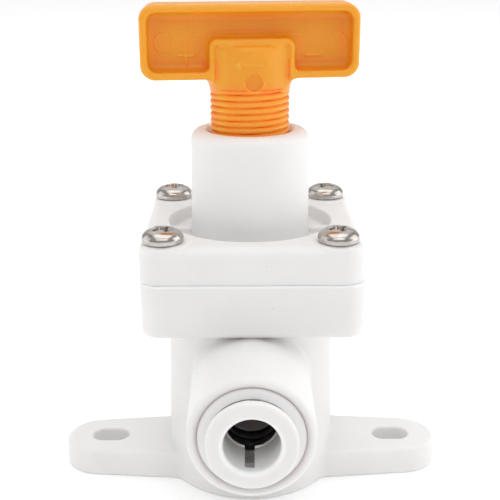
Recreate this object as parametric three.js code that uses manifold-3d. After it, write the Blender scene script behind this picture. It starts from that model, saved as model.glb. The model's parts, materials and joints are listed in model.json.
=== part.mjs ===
// Inline diaphragm valve: a spring-loaded diaphragm is pressed on a seat between two push-in tube
// ports, and a T-handle on a threaded hollow stem sets how hard the spring presses.
// Millimetres. +Z up along the spindle, ports along +-Y, mounting ears along +-X.
// The origin is on the spindle axis, at the underside of the foot.
import * as THREE from "three";
import { mergeVertices } from "three/addons/utils/BufferGeometryUtils.js";
import Module from "manifold-3d";

const wasm = await Module();
wasm.setup();

// ---------------------------------------------------------------- driving dimensions

// Clearances
const TOUCH_GAP = 0.02; // between faces that rest on each other
const FIT_GAP = 0.05; // round a piece pushed into its bore
const SLIDE_GAP = 0.25; // round a piece that slides
const THREAD_GAP = 0.15; // between the stem's thread crests and the bonnet's bore

// Mounting foot
const FOOT_THICKNESS = 4.6;
const FOOT_HALF_LENGTH = 31.9;
const FOOT_TIP_RADIUS = 5.95;
const FOOT_CENTRE_HALF_WIDTH = 8.6;
const SLOT_TIP_DISTANCE = 7.55; // from the end of the ear to the middle of its slot
const SLOT_LENGTH = 6.4;
const SLOT_WIDTH = 4.45;

// Tube ports
const TUBE_DIAMETER = 8;
const TUBE_CLEARANCE = 0.1;
const TUBE_STOP_DEPTH = 14.4;
const PORT_FACE_DISTANCE = 30.4; // from the spindle axis to the end face of a port barrel
const PORT_AXIS_HEIGHT = 19.8;
const PORT_BARREL_WALL = 1.6;
const PORT_MOUTH_CHAMFER = 0.6;
const WATERWAY_RADIUS = 2.5;
const RISER_RADIUS = 2.2;

// Push-in cartridge, in each port
const O_RING_SECTION = 1.6;
const O_RING_BITE = 0.03; // how far a seal's hole is under the tube
const SPACER_THICKNESS = 0.8;
const COLLET_WALL = 1.1;
const COLLET_FLANGE_RADIUS = 6.82;
const COLLET_FLANGE_THICKNESS = 1.45;
const COLLET_PROUD = 2.3; // front of the collet, ahead of the barrel's face
const COLLET_LEAD_IN = 0.8;
const COLLET_FINGER_DEPTH = 4.95; // finger tips, behind the barrel's face
const COLLET_BARB_HEIGHT = 0.8;
const COLLET_BARB_LAND = 0.45;
const COLLET_BARB_SLOPE = 1.3;
const COLLET_SLOT_WIDTH = 1.4;
const COLLET_TRAVEL = 0.9;
const TOOTH_THICKNESS = 0.25;
const TOOTH_LEAN = 0.25;
const TOOTH_BITE = 0.12;
const RING_WALL = 1.4;
const RING_EDGE = 0.7;
const RING_RECESS_DEPTH = 1.2;

// Diaphragm and the pieces clamped to it
const DIAPHRAGM_RADIUS = 14.4;
const DIAPHRAGM_THICKNESS = 1.26;
const CLAMP_WIDTH = 4.2;
const FLEX_WIDTH = 2.6;
const VALVE_LIFT = 0.8;
const PLATE_THICKNESS = 1.2;
const STUD_RADIUS = 1.4;
const STUD_HEAD_HEIGHT = 1.28;
const STUD_FLANGE_RADIUS = 2.6;
const STUD_FLANGE_THICKNESS = 0.6;
const PAD_THICKNESS = 1.2;
const NOZZLE_WALL = 1.4;

// Body
const NECK_WALL = 3.16;
const NECK_DRAFT = 0.65;
const PORT_ROOF = 0.35; // plastic between the top of a barrel and the flange above it
const BODY_FLANGE_THICKNESS = 8.6;
const BODY_FLANGE_MARGIN = 0.1; // how far the body's flange stands out past the bonnet's
const CHAMBER_DEPTH = 5.1;
const FLANGE_CORNER_RADIUS = 3;

// Bonnet
const SPIGOT_LENGTH = 1.3;
const SPRING_ROOM_HEIGHT = 1;
const BONNET_FLANGE_THICKNESS = 5.6;
const BONNET_EDGE = 1;
const TOWER_HEIGHT = 14.83;
const TOWER_WALL = 3.05;
const TOWER_EDGE_RADIUS = 1.5;
const BORE_CHAMFER = 0.7;
const GROOVE_WIDTH = 3.7;
const GROOVE_DEPTH = 3;
const RIB_THICKNESS = 1.5;
const RIB_DROP = 1.4; // top of a rib, below the flange's top

// Screws
const SCREW_EDGE_DISTANCE = 3.75;
const SCREW_SEAL_WALL = 2.54; // plastic between a screw hole and the diaphragm's recess
const SCREW_HOLE_RADIUS = 1.6;
const SCREW_SHANK_RADIUS = 1.25;
const SCREW_LENGTH = 12;
const SCREW_TIP_LENGTH = 1;
const SCREW_HEAD_RADIUS = 3.2;
const SCREW_HEAD_HEIGHT = 2.3;
const SCREW_PAD_RADIUS = 4.2;
const SCREW_PAD_HEIGHT = 0.35;
const CROSS_WIDTH = 0.8;
const CROSS_LENGTH = 3.4;
const CROSS_DEPTH = 1.3;

// Range spring and the cap on top of it
const SPRING_WIRE = 1.1;
const SPRING_MEAN_RADIUS = 3.9;
const SPRING_LENGTH = 22.9;
const SPRING_TURNS = 9;
const CAP_THICKNESS = 1.3;
const CAP_BOSS_HEIGHT = 1.3;
const CAP_NUB_HEIGHT = 0.5;
const CAP_NUB_RADIUS = 1.5;

// Handle
const HANDLE_TRAVEL = 7.25;
const HANDLE_STOP_GAP = 0.97; // left between wing and bonnet when screwed right in
const HANDLE_TURN = 6; // degrees
const STEM_WALL = 1.2;
const STEM_END_GAP = 0.8;
const THREAD_PITCH = 1;
const THREAD_DEPTH = 0.35;
const THREAD_CREST_WIDTH = 0.3;
const THREAD_ROOT_WIDTH = 0.1;
const STEM_PILOT_LENGTH = 6; // plain end below the thread
const STEM_END_CHAMFER = 0.5;
const THREAD_TOP_DROP = 2.35; // from the wing's underside down to the top of the thread
const WING_LENGTH = 34;
const WING_HEIGHT = 10.95;
const WING_THICKNESS = 8;
const WING_CORNER_RADIUS = 2.3;
const WING_RIM = 1.15;
const WING_RECESS_DEPTH = 3;
const WING_RECESS_CORNER_RADIUS = 1.4;
const WING_FILLET_RADIUS = 2.2;
const BOSS_RADIUS = 6;
const BOSS_HEIGHT = 5.15; // above the wing's underside
const BOSS_EDGE = 1;
const BOSS_LAND_WIDTH = 0.5; // flat land left round the boss on each face of the wing
const BOSS_LAND_RISE = 0.9; // top of that land, above the boss

// Facets of a full circle
const LARGE_ROUND = 40;
const MEDIUM_ROUND = 24;
const SMALL_ROUND = 16;
const THREAD_ROUND = 14; // for the stem and its thread alike, so that their facets meet
const WIRE_ROUND = 6;
const EDGE_STEPS = 3; // facets of a quarter-round edge

// ---------------------------------------------------------------- worked-out dimensions

const tubeRadius = TUBE_DIAMETER / 2;
const socketRadius = tubeRadius + TUBE_CLEARANCE;
const sleeveRadius = socketRadius + COLLET_WALL;
const barbRadius = sleeveRadius + COLLET_BARB_HEIGHT;
const ringThroatRadius = sleeveRadius + SLIDE_GAP;
const ringRoomRadius = barbRadius + SLIDE_GAP + 0.15;
const ringRadius = ringRoomRadius + RING_WALL;
const ringBoreRadius = ringRadius + FIT_GAP;
const barrelRadius = ringBoreRadius + PORT_BARREL_WALL;
const sealInnerRadius = tubeRadius - O_RING_BITE;
const sealBoreRadius = sealInnerRadius + O_RING_SECTION + FIT_GAP;
const toothDepth = COLLET_FINGER_DEPTH + FIT_GAP;
const ringLength = toothDepth + TOOTH_THICKNESS + TOOTH_LEAN + COLLET_TRAVEL + 0.25;
const outerSealDepth = ringLength + FIT_GAP + O_RING_SECTION / 2;
const spacerDepth = outerSealDepth + O_RING_SECTION / 2 + FIT_GAP;
const innerSealDepth = spacerDepth + SPACER_THICKNESS + FIT_GAP + O_RING_SECTION / 2;
const sealBoreDepth = innerSealDepth + O_RING_SECTION / 2 + FIT_GAP;

const springInnerRadius = SPRING_MEAN_RADIUS - SPRING_WIRE / 2;
const springOuterRadius = SPRING_MEAN_RADIUS + SPRING_WIRE / 2;
const stemBoreRadius = springOuterRadius + 0.2;
const stemRadius = stemBoreRadius + STEM_WALL;
const threadRadius = stemRadius + THREAD_DEPTH;
const bonnetBoreRadius = threadRadius + THREAD_GAP;
const towerRadius = bonnetBoreRadius + TOWER_WALL;
const grooveRadius = towerRadius + GROOVE_WIDTH;

const recessRadius = DIAPHRAGM_RADIUS + 0.2;
const chamberRadius = DIAPHRAGM_RADIUS - CLAMP_WIDTH;
const plateRadius = chamberRadius - FLEX_WIDTH;
const nozzleRadius = WATERWAY_RADIUS + NOZZLE_WALL;
const padRadius = nozzleRadius - 0.3;
const neckTopRadius = chamberRadius + NECK_WALL;
const neckFootRadius = neckTopRadius + NECK_DRAFT;
const screwOffset = (recessRadius + SCREW_SEAL_WALL + SCREW_HOLE_RADIUS) / Math.SQRT2;
const bonnetHalfWidth = screwOffset + SCREW_EDGE_DISTANCE;
const bodyHalfWidth = bonnetHalfWidth + BODY_FLANGE_MARGIN;
const riserOffset = (nozzleRadius + chamberRadius) / 2;

const flangeBottom = PORT_AXIS_HEIGHT + barrelRadius + PORT_ROOF;
const parting = flangeBottom + BODY_FLANGE_THICKNESS;
const spigotBottom = parting - SPIGOT_LENGTH;
const rimBottom = spigotBottom - TOUCH_GAP - DIAPHRAGM_THICKNESS;
const rimSeat = rimBottom - TOUCH_GAP;
const chamberFloor = rimSeat - CHAMBER_DEPTH;
const centreBottom = rimBottom - VALVE_LIFT;
const padBottom = centreBottom - TOUCH_GAP - PAD_THICKNESS;
const nozzleTop = padBottom - TOUCH_GAP;
const plateBottom = centreBottom + DIAPHRAGM_THICKNESS + TOUCH_GAP;
const plateTop = plateBottom + PLATE_THICKNESS;
const springBottom = plateTop + TOUCH_GAP;
const springTop = springBottom + SPRING_LENGTH;
const capBottom = springTop + TOUCH_GAP;
const capTop = capBottom + CAP_THICKNESS;
const stemBoreTop = capTop + CAP_NUB_HEIGHT + FIT_GAP;
const springRoomTop = parting + SPRING_ROOM_HEIGHT;
const flangeTop = parting + BONNET_FLANGE_THICKNESS;
const towerTop = flangeTop + TOWER_HEIGHT;
const screwSeat = flangeTop + SCREW_PAD_HEIGHT + TOUCH_GAP;
const wingBottom = towerTop + HANDLE_TRAVEL + HANDLE_STOP_GAP;
const stemBottom = plateTop + VALVE_LIFT + STEM_END_GAP + HANDLE_TRAVEL;
const threadTop = wingBottom - THREAD_TOP_DROP;
const bossTop = wingBottom + BOSS_HEIGHT;

const OVERCUT = 1; // how far a cutter runs past the face it opens

// ---------------------------------------------------------------- shape helpers

// A closed three.js geometry as a solid that can be joined and cut.
function solid(geometry) {
  const bare = geometry.clone();
  bare.deleteAttribute("normal");
  bare.deleteAttribute("uv");
  const merged = mergeVertices(bare);
  const corners = merged.index.array;
  const kept = [];
  for (let i = 0; i < corners.length; i += 3) {
    const [a, b, c] = corners.subarray(i, i + 3);
    if (a !== b && b !== c && c !== a) kept.push(a, b, c);
  }
  return new wasm.Manifold(
    new wasm.Mesh({
      numProp: 3,
      vertProperties: merged.attributes.position.array,
      triVerts: new Uint32Array(kept),
    }),
  );
}

// A solid as a three.js geometry.
function geometryOf(shape) {
  const mesh = shape.getMesh();
  const geometry = new THREE.BufferGeometry();
  geometry.setAttribute("position", new THREE.BufferAttribute(mesh.vertProperties, 3));
  geometry.setIndex(new THREE.BufferAttribute(mesh.triVerts, 1));
  geometry.computeVertexNormals();
  return geometry;
}

// A body of revolution about Z. The profile is [radius, height] pairs that run upwards on the
// outside; it starts and ends on the axis, or closes on itself.
function turned(profile, facets) {
  const points = profile.map(([radius, height]) => new THREE.Vector2(radius, height));
  return solid(new THREE.LatheGeometry(points, facets).rotateX(Math.PI / 2));
}

// The same for a ring, whose profile is closed by its first point.
function turnedRing(profile, facets) {
  return turned([...profile, profile[0]], facets);
}

function rod(radius, bottom, top, facets) {
  return turned([[0, bottom], [radius, bottom], [radius, top], [0, top]], facets);
}

// A flat outline in XY given height from bottom to top.
function prism(outline, bottom, top, curveSegments) {
  const extruded = new THREE.ExtrudeGeometry(outline, {
    depth: top - bottom,
    bevelEnabled: false,
    curveSegments,
  });
  return solid(extruded.translate(0, 0, bottom));
}

function block(sizeX, sizeY, bottom, top) {
  const geometry = new THREE.BoxGeometry(sizeX, sizeY, top - bottom);
  return solid(geometry.translate(0, 0, (bottom + top) / 2));
}

// Points of a rounded edge, from one angle to another about a centre.
function arcPoints(centreRadius, centreHeight, edge, fromDegrees, toDegrees) {
  return Array.from({ length: EDGE_STEPS + 1 }, (_, step) => {
    const share = step / EDGE_STEPS;
    const angle = THREE.MathUtils.degToRad(fromDegrees + share * (toDegrees - fromDegrees));
    return [centreRadius + edge * Math.cos(angle), centreHeight + edge * Math.sin(angle)];
  });
}

function roundedRectangle(left, bottom, right, top, radius) {
  const outline = new THREE.Shape();
  outline.moveTo(left + radius, bottom);
  outline.absarc(right - radius, bottom + radius, radius, -Math.PI / 2, 0, false);
  outline.absarc(right - radius, top - radius, radius, 0, Math.PI / 2, false);
  outline.absarc(left + radius, top - radius, radius, Math.PI / 2, Math.PI, false);
  outline.absarc(left + radius, bottom + radius, radius, Math.PI, 1.5 * Math.PI, false);
  return outline;
}

function roundedSquare(halfWidth, radius) {
  return roundedRectangle(-halfWidth, -halfWidth, halfWidth, halfWidth, radius);
}

// A helix about Z. heightAt gives its height after a number of turns.
class Helix extends THREE.Curve {
  constructor(radius, turns, heightAt) {
    super();
    Object.assign(this, { radius, turns, heightAt });
  }
  getPoint(share, target = new THREE.Vector3()) {
    const angle = 2 * Math.PI * this.turns * share;
    return target.set(
      this.radius * Math.cos(angle),
      this.radius * Math.sin(angle),
      this.heightAt(share * this.turns),
    );
  }
  // The section keeps one side to the axis: its X points outwards and its Y downwards.
  computeFrenetFrames(steps) {
    const shares = Array.from({ length: steps + 1 }, (_, step) => step / steps);
    const outward = shares.map((share) => this.getPoint(share).setZ(0).normalize());
    return {
      tangents: shares.map((share) => this.getTangent(share)),
      normals: outward,
      binormals: shares.map(() => new THREE.Vector3(0, 0, -1)),
    };
  }
}

// A wire or ridge along a helix, with THREAD_ROUND steps in each turn.
function alongHelix(helix, section) {
  const geometry = new THREE.ExtrudeGeometry(section, {
    extrudePath: helix,
    steps: Math.round(helix.turns * THREAD_ROUND),
    curveSegments: WIRE_ROUND / 2,
    bevelEnabled: false,
  });
  return solid(geometry);
}

function union(shapes) {
  return shapes.reduce((whole, shape) => whole.add(shape));
}

// ---------------------------------------------------------------- materials

const whitePlastic = { color: 0xe9e7e4, roughness: 0.4, metalness: 0 };
const orangePlastic = { color: 0xee9a2e, roughness: 0.42, metalness: 0 };
const stainlessSteel = { color: 0xb9b2aa, roughness: 0.25, metalness: 1 };
const springSteel = { color: 0x9a9894, roughness: 0.35, metalness: 1 };
const blackRubber = { color: 0x141314, roughness: 0.7, metalness: 0 };
const greyAcetal = { color: 0x8f9092, roughness: 0.45, metalness: 0 };

function piece(name, shape, finish) {
  const mesh = new THREE.Mesh(geometryOf(shape), new THREE.MeshStandardMaterial(finish));
  mesh.name = name;
  return mesh;
}

// ---------------------------------------------------------------- valve body

// Plan of the foot: two ears that taper to round tips, with a slot through each.
function footOutline() {
  const tipCentre = FOOT_HALF_LENGTH - FOOT_TIP_RADIUS;
  const reach = Math.hypot(tipCentre, FOOT_CENTRE_HALF_WIDTH);
  const taper =
    Math.atan2(FOOT_CENTRE_HALF_WIDTH, tipCentre) - Math.asin(FOOT_TIP_RADIUS / reach);
  const end = Math.PI / 2 - taper;
  const outline = new THREE.Shape();
  outline.absarc(tipCentre, 0, FOOT_TIP_RADIUS, -end, end, false);
  outline.lineTo(0, FOOT_CENTRE_HALF_WIDTH);
  outline.absarc(-tipCentre, 0, FOOT_TIP_RADIUS, Math.PI - end, Math.PI + end, false);
  outline.lineTo(0, -FOOT_CENTRE_HALF_WIDTH);
  const slotCentre = FOOT_HALF_LENGTH - SLOT_TIP_DISTANCE;
  for (const side of [-1, 1]) {
    const slot = new THREE.Path();
    const half = (SLOT_LENGTH - SLOT_WIDTH) / 2;
    const x = side * slotCentre;
    slot.absarc(x + half, 0, SLOT_WIDTH / 2, -Math.PI / 2, Math.PI / 2, false);
    slot.absarc(x - half, 0, SLOT_WIDTH / 2, Math.PI / 2, 1.5 * Math.PI, false);
    slot.closePath();
    outline.holes.push(slot);
  }
  return outline;
}

// The stepped bore of a port, along +Z with the barrel's end face at z = 0.
function portBore() {
  return turned(
    [
      [0, -TUBE_STOP_DEPTH],
      [socketRadius, -TUBE_STOP_DEPTH],
      [socketRadius, -sealBoreDepth],
      [sealBoreRadius, -sealBoreDepth],
      [sealBoreRadius, -ringLength],
      [ringBoreRadius, -ringLength],
      [ringBoreRadius, -PORT_MOUTH_CHAMFER],
      [ringBoreRadius + PORT_MOUTH_CHAMFER, 0],
      [ringBoreRadius + PORT_MOUTH_CHAMFER, OVERCUT],
      [0, OVERCUT],
    ],
    MEDIUM_ROUND,
  );
}

// Turns a solid that lies along +Z from z = 0 so that it lies along a port, from the port's face.
function alongPort(shape, side) {
  const place = new THREE.Matrix4()
    .makeTranslation(0, side * PORT_FACE_DISTANCE, PORT_AXIS_HEIGHT)
    .multiply(new THREE.Matrix4().makeRotationX((-side * Math.PI) / 2));
  return solid(geometryOf(shape).applyMatrix4(place));
}

// The recess for the diaphragm and, under it, the chamber round the nozzle.
function chamber() {
  return turned(
    [
      [0, nozzleTop],
      [nozzleRadius, nozzleTop],
      [nozzleRadius, chamberFloor],
      [chamberRadius, chamberFloor],
      [chamberRadius, rimSeat],
      [recessRadius, rimSeat],
      [recessRadius, parting + OVERCUT],
      [0, parting + OVERCUT],
    ],
    LARGE_ROUND,
  );
}

function valveBody() {
  const foot = prism(footOutline(), 0, FOOT_THICKNESS, 12);
  const neck = turned(
    [[0, 0], [neckFootRadius, 0], [neckTopRadius, flangeBottom + OVERCUT],
      [0, flangeBottom + OVERCUT]],
    LARGE_ROUND,
  );
  const flange = prism(roundedSquare(bodyHalfWidth, FLANGE_CORNER_RADIUS),
    flangeBottom, parting, 5);
  const roofHalfWidth = Math.sqrt(barrelRadius ** 2 - (barrelRadius - PORT_ROOF) ** 2);
  const roof = block(2 * roofHalfWidth, 2 * bodyHalfWidth - 1,
    PORT_AXIS_HEIGHT + barrelRadius - PORT_ROOF, flangeBottom + PORT_ROOF);
  const barrels = [-1, 1].map((side) =>
    alongPort(rod(barrelRadius, -PORT_FACE_DISTANCE, 0, LARGE_ROUND), side));
  const stop = PORT_FACE_DISTANCE - TUBE_STOP_DEPTH;
  const waterways = [
    alongPort(rod(WATERWAY_RADIUS, -PORT_FACE_DISTANCE, OVERCUT - TUBE_STOP_DEPTH,
      SMALL_ROUND), -1),
    alongPort(rod(RISER_RADIUS, riserOffset - PORT_FACE_DISTANCE, OVERCUT - TUBE_STOP_DEPTH,
      SMALL_ROUND), 1),
    rod(WATERWAY_RADIUS, PORT_AXIS_HEIGHT, nozzleTop + OVERCUT, SMALL_ROUND),
    rod(RISER_RADIUS, PORT_AXIS_HEIGHT, chamberFloor + OVERCUT, SMALL_ROUND)
      .translate([0, riserOffset, 0]),
  ];
  const pilots = screwPlaces().map(({ x, y }) =>
    rod(SCREW_SHANK_RADIUS + FIT_GAP, screwSeat - SCREW_LENGTH - TOUCH_GAP - FIT_GAP,
      parting + OVERCUT, SMALL_ROUND).translate([x, y, 0]));
  const cuts = union([chamber(), ...[-1, 1].map((side) => alongPort(portBore(), side)),
    ...waterways, ...pilots]);
  return union([foot, neck, flange, roof, ...barrels]).subtract(cuts);
}

// ---------------------------------------------------------------- bonnet

function screwPlaces() {
  return [
    { name: "screw_front_left", x: -screwOffset, y: -screwOffset },
    { name: "screw_front_right", x: screwOffset, y: -screwOffset },
    { name: "screw_rear_left", x: -screwOffset, y: screwOffset },
    { name: "screw_rear_right", x: screwOffset, y: screwOffset },
  ];
}

function bonnet() {
  const outline = roundedSquare(bonnetHalfWidth, FLANGE_CORNER_RADIUS);
  const flange = prism(outline, parting + TOUCH_GAP, flangeTop, 5);
  const pads = union(screwPlaces().map(({ x, y }) =>
    rod(SCREW_PAD_RADIUS, flangeTop - BONNET_EDGE, flangeTop + SCREW_PAD_HEIGHT, SMALL_ROUND)
      .translate([x, y, 0])))
    .intersect(prism(outline, parting, flangeTop + OVERCUT, 5));
  const spigot = rod(DIAPHRAGM_RADIUS, spigotBottom, parting + OVERCUT, LARGE_ROUND);
  const tower = turned(
    [
      [0, parting + OVERCUT],
      [towerRadius, parting + OVERCUT],
      ...arcPoints(towerRadius - TOWER_EDGE_RADIUS, towerTop - TOWER_EDGE_RADIUS,
        TOWER_EDGE_RADIUS, 0, 90),
      [0, towerTop],
    ],
    LARGE_ROUND,
  );
  const groove = rod(grooveRadius, flangeTop - GROOVE_DEPTH, flangeTop + OVERCUT, LARGE_ROUND);
  const ribs = block(2 * grooveRadius + 1, RIB_THICKNESS, parting + OVERCUT,
    flangeTop - RIB_DROP);
  const hollow = turned(
    [
      [0, spigotBottom - OVERCUT],
      [chamberRadius, spigotBottom - OVERCUT],
      [chamberRadius, springRoomTop],
      [bonnetBoreRadius, springRoomTop],
      [bonnetBoreRadius, towerTop - BORE_CHAMFER],
      [bonnetBoreRadius + BORE_CHAMFER, towerTop],
      [bonnetBoreRadius + BORE_CHAMFER, towerTop + OVERCUT],
      [0, towerTop + OVERCUT],
    ],
    LARGE_ROUND,
  );
  const holes = union(screwPlaces().map(({ x, y }) =>
    rod(SCREW_HOLE_RADIUS, parting - OVERCUT, flangeTop + OVERCUT, SMALL_ROUND)
      .translate([x, y, 0])));
  return flange.add(pads).subtract(groove).add(tower).add(ribs).add(spigot)
    .subtract(hollow).subtract(holes);
}

// A pan-head screw with a cross recess, its head's underside at z = 0.
function screw() {
  const rimHeight = SCREW_HEAD_HEIGHT / 3;
  const dome = SCREW_HEAD_HEIGHT - rimHeight;
  const domePoints = Array.from({ length: EDGE_STEPS + 1 }, (_, step) => {
    const angle = ((step / EDGE_STEPS) * Math.PI) / 2;
    return [SCREW_HEAD_RADIUS * Math.cos(angle), rimHeight + dome * Math.sin(angle)];
  });
  domePoints[EDGE_STEPS][0] = 0;
  const turnedScrew = turned(
    [
      [0, -SCREW_LENGTH],
      [SCREW_SHANK_RADIUS / 2, -SCREW_LENGTH],
      [SCREW_SHANK_RADIUS, -SCREW_LENGTH + SCREW_TIP_LENGTH],
      [SCREW_SHANK_RADIUS, 0],
      [SCREW_HEAD_RADIUS, 0],
      ...domePoints,
    ],
    SMALL_ROUND,
  );
  const floor = SCREW_HEAD_HEIGHT - CROSS_DEPTH;
  const cross = block(CROSS_LENGTH, CROSS_WIDTH, floor, SCREW_HEAD_HEIGHT + OVERCUT)
    .add(block(CROSS_WIDTH, CROSS_LENGTH, floor, SCREW_HEAD_HEIGHT + OVERCUT));
  return turnedScrew.subtract(cross);
}

// ---------------------------------------------------------------- push-in cartridge
// Made along +Z, outwards, with the barrel's end face at z = 0.

function retainingRing() {
  const coneStart = COLLET_FINGER_DEPTH - COLLET_BARB_LAND - COLLET_BARB_SLOPE;
  const recessRadiusAtMouth = COLLET_FLANGE_RADIUS + SLIDE_GAP;
  return turnedRing(
    [
      [ringRoomRadius, -ringLength + FIT_GAP],
      [ringRadius, -ringLength + FIT_GAP],
      ...arcPoints(ringRadius - RING_EDGE, -RING_EDGE, RING_EDGE, 0, 90),
      [recessRadiusAtMouth, 0],
      [recessRadiusAtMouth, -RING_RECESS_DEPTH],
      [ringThroatRadius, -RING_RECESS_DEPTH],
      [ringThroatRadius, -coneStart],
      [ringRoomRadius, -COLLET_FINGER_DEPTH + FIT_GAP],
    ],
    MEDIUM_ROUND,
  );
}

// Two crossing blocks that part a collet's sleeve into four fingers.
function fingerSlots(bottom, top) {
  const length = 4 * barbRadius;
  return block(length, COLLET_SLOT_WIDTH, bottom, top)
    .add(block(COLLET_SLOT_WIDTH, length, bottom, top));
}

function collet() {
  const flangeBack = COLLET_PROUD - COLLET_FLANGE_THICKNESS;
  const edge = COLLET_FLANGE_THICKNESS / 2;
  const barbFoot = -COLLET_FINGER_DEPTH + COLLET_BARB_LAND;
  const sleeve = turnedRing(
    [
      [socketRadius, -COLLET_FINGER_DEPTH],
      [barbRadius, -COLLET_FINGER_DEPTH],
      [barbRadius, barbFoot],
      [sleeveRadius, barbFoot + COLLET_BARB_SLOPE],
      [sleeveRadius, flangeBack],
      ...arcPoints(COLLET_FLANGE_RADIUS - edge, flangeBack + edge, edge, -90, 90),
      [socketRadius + COLLET_LEAD_IN, COLLET_PROUD],
      [socketRadius + COLLET_LEAD_IN / 4, COLLET_PROUD - COLLET_LEAD_IN / 3],
      [socketRadius, COLLET_PROUD - COLLET_LEAD_IN],
    ],
    MEDIUM_ROUND,
  );
  return sleeve.subtract(fingerSlots(-COLLET_FINGER_DEPTH - OVERCUT, flangeBack));
}

// A steel tooth for each finger: a quarter of a coned washer, leaning inwards.
function colletTooth(signX, signY) {
  const front = -toothDepth;
  const washer = turnedRing(
    [
      [sealInnerRadius + O_RING_BITE - TOOTH_BITE, front - TOOTH_LEAN - TOOTH_THICKNESS],
      [barbRadius - TOOTH_LEAN, front - TOOTH_THICKNESS],
      [barbRadius - TOOTH_LEAN, front],
      [socketRadius + TOOTH_LEAN, front],
      [sealInnerRadius + O_RING_BITE - TOOTH_BITE, front - TOOTH_LEAN],
    ],
    MEDIUM_ROUND,
  );
  const depth = [front - 2 * (TOOTH_LEAN + TOOTH_THICKNESS), OVERCUT];
  const size = 2 * barbRadius;
  const quarter = block(size, size, ...depth)
    .translate([(signX * size) / 2, (signY * size) / 2, 0]);
  return washer.subtract(fingerSlots(...depth)).intersect(quarter);
}

function tubeSeal(depth) {
  const torus = new THREE.TorusGeometry(sealInnerRadius + O_RING_SECTION / 2,
    O_RING_SECTION / 2, WIRE_ROUND, MEDIUM_ROUND);
  return solid(torus.translate(0, 0, -depth));
}

function sealSpacer() {
  const back = -spacerDepth - SPACER_THICKNESS;
  return turnedRing(
    [
      [socketRadius, back],
      [sealBoreRadius - FIT_GAP, back],
      [sealBoreRadius - FIT_GAP, -spacerDepth],
      [socketRadius, -spacerDepth],
    ],
    MEDIUM_ROUND,
  );
}

function port(end) {
  const group = new THREE.Group();
  group.add(
    piece(`${end}_retaining_ring`, retainingRing(), whitePlastic),
    piece(`${end}_collet`, collet(), whitePlastic),
    piece(`${end}_outer_o_ring`, tubeSeal(outerSealDepth), blackRubber),
    piece(`${end}_seal_spacer`, sealSpacer(), greyAcetal),
    piece(`${end}_inner_o_ring`, tubeSeal(innerSealDepth), blackRubber),
  );
  const quarters = [[1, 1], [-1, 1], [-1, -1], [1, -1]];
  quarters.forEach(([signX, signY], index) => {
    const name = `${end}_collet_tooth_${index + 1}`;
    group.add(piece(name, colletTooth(signX, signY), stainlessSteel));
  });
  return group;
}

// ---------------------------------------------------------------- diaphragm set

// Clamped at its rim, dished down at the middle while the valve is shut.
function diaphragm() {
  const rimTop = rimBottom + DIAPHRAGM_THICKNESS;
  const centreTop = centreBottom + DIAPHRAGM_THICKNESS;
  const holeRadius = STUD_RADIUS + FIT_GAP;
  const thin = DIAPHRAGM_THICKNESS / 4;
  const bend = FLEX_WIDTH / 4;
  return turnedRing(
    [
      [holeRadius, centreBottom],
      [plateRadius, centreBottom],
      [plateRadius + bend, centreBottom + thin],
      [chamberRadius - bend, rimBottom + thin],
      [chamberRadius, rimBottom],
      [DIAPHRAGM_RADIUS, rimBottom],
      [DIAPHRAGM_RADIUS, rimTop],
      [chamberRadius, rimTop],
      [chamberRadius - bend, rimTop - thin],
      [plateRadius + bend, centreTop - thin],
      [plateRadius, centreTop],
      [holeRadius, centreTop],
    ],
    MEDIUM_ROUND,
  );
}

function pressurePlate() {
  const holeRadius = STUD_RADIUS + FIT_GAP;
  const edge = PLATE_THICKNESS / 3;
  return turnedRing(
    [
      [holeRadius, plateBottom],
      [plateRadius - edge, plateBottom],
      [plateRadius, plateBottom + edge],
      [plateRadius, plateTop],
      [holeRadius, plateTop],
    ],
    MEDIUM_ROUND,
  );
}

function diaphragmStud() {
  const flangeTopHeight = centreBottom - TOUCH_GAP;
  const headBottom = plateTop + TOUCH_GAP;
  const headRadius = springInnerRadius - SLIDE_GAP;
  const edge = STUD_HEAD_HEIGHT / 3;
  return turned(
    [
      [0, flangeTopHeight - STUD_FLANGE_THICKNESS],
      [STUD_FLANGE_RADIUS, flangeTopHeight - STUD_FLANGE_THICKNESS],
      [STUD_FLANGE_RADIUS, flangeTopHeight],
      [STUD_RADIUS, flangeTopHeight],
      [STUD_RADIUS, headBottom],
      [headRadius, headBottom],
      [headRadius, headBottom + STUD_HEAD_HEIGHT - edge],
      [headRadius - edge, headBottom + STUD_HEAD_HEIGHT],
      [0, headBottom + STUD_HEAD_HEIGHT],
    ],
    SMALL_ROUND,
  );
}

// The soft disc that closes the nozzle, held on by the stud's flange.
function valvePad() {
  const top = padBottom + PAD_THICKNESS;
  const pocketRadius = STUD_FLANGE_RADIUS + FIT_GAP;
  const pocketFloor = top - STUD_FLANGE_THICKNESS - FIT_GAP;
  return turned(
    [
      [0, padBottom],
      [padRadius, padBottom],
      [padRadius, top],
      [pocketRadius, top],
      [pocketRadius, pocketFloor],
      [0, pocketFloor],
    ],
    SMALL_ROUND,
  );
}

// ---------------------------------------------------------------- range spring and its cap

// A compression spring with one closed turn at each end.
function rangeSpring() {
  const low = springBottom + SPRING_WIRE / 2;
  const closedPitch = SPRING_WIRE + FIT_GAP;
  const openTurns = SPRING_TURNS - 2;
  const openPitch = (SPRING_LENGTH - SPRING_WIRE - 2 * closedPitch) / openTurns;
  const heightAt = (turns) =>
    low +
    closedPitch * Math.min(turns, 1) +
    openPitch * Math.min(Math.max(turns - 1, 0), openTurns) +
    closedPitch * Math.max(turns - 1 - openTurns, 0);
  const wire = new THREE.Shape();
  wire.absarc(0, 0, SPRING_WIRE / 2, 0, 2 * Math.PI, false);
  return alongHelix(new Helix(SPRING_MEAN_RADIUS, SPRING_TURNS, heightAt), wire);
}

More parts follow.
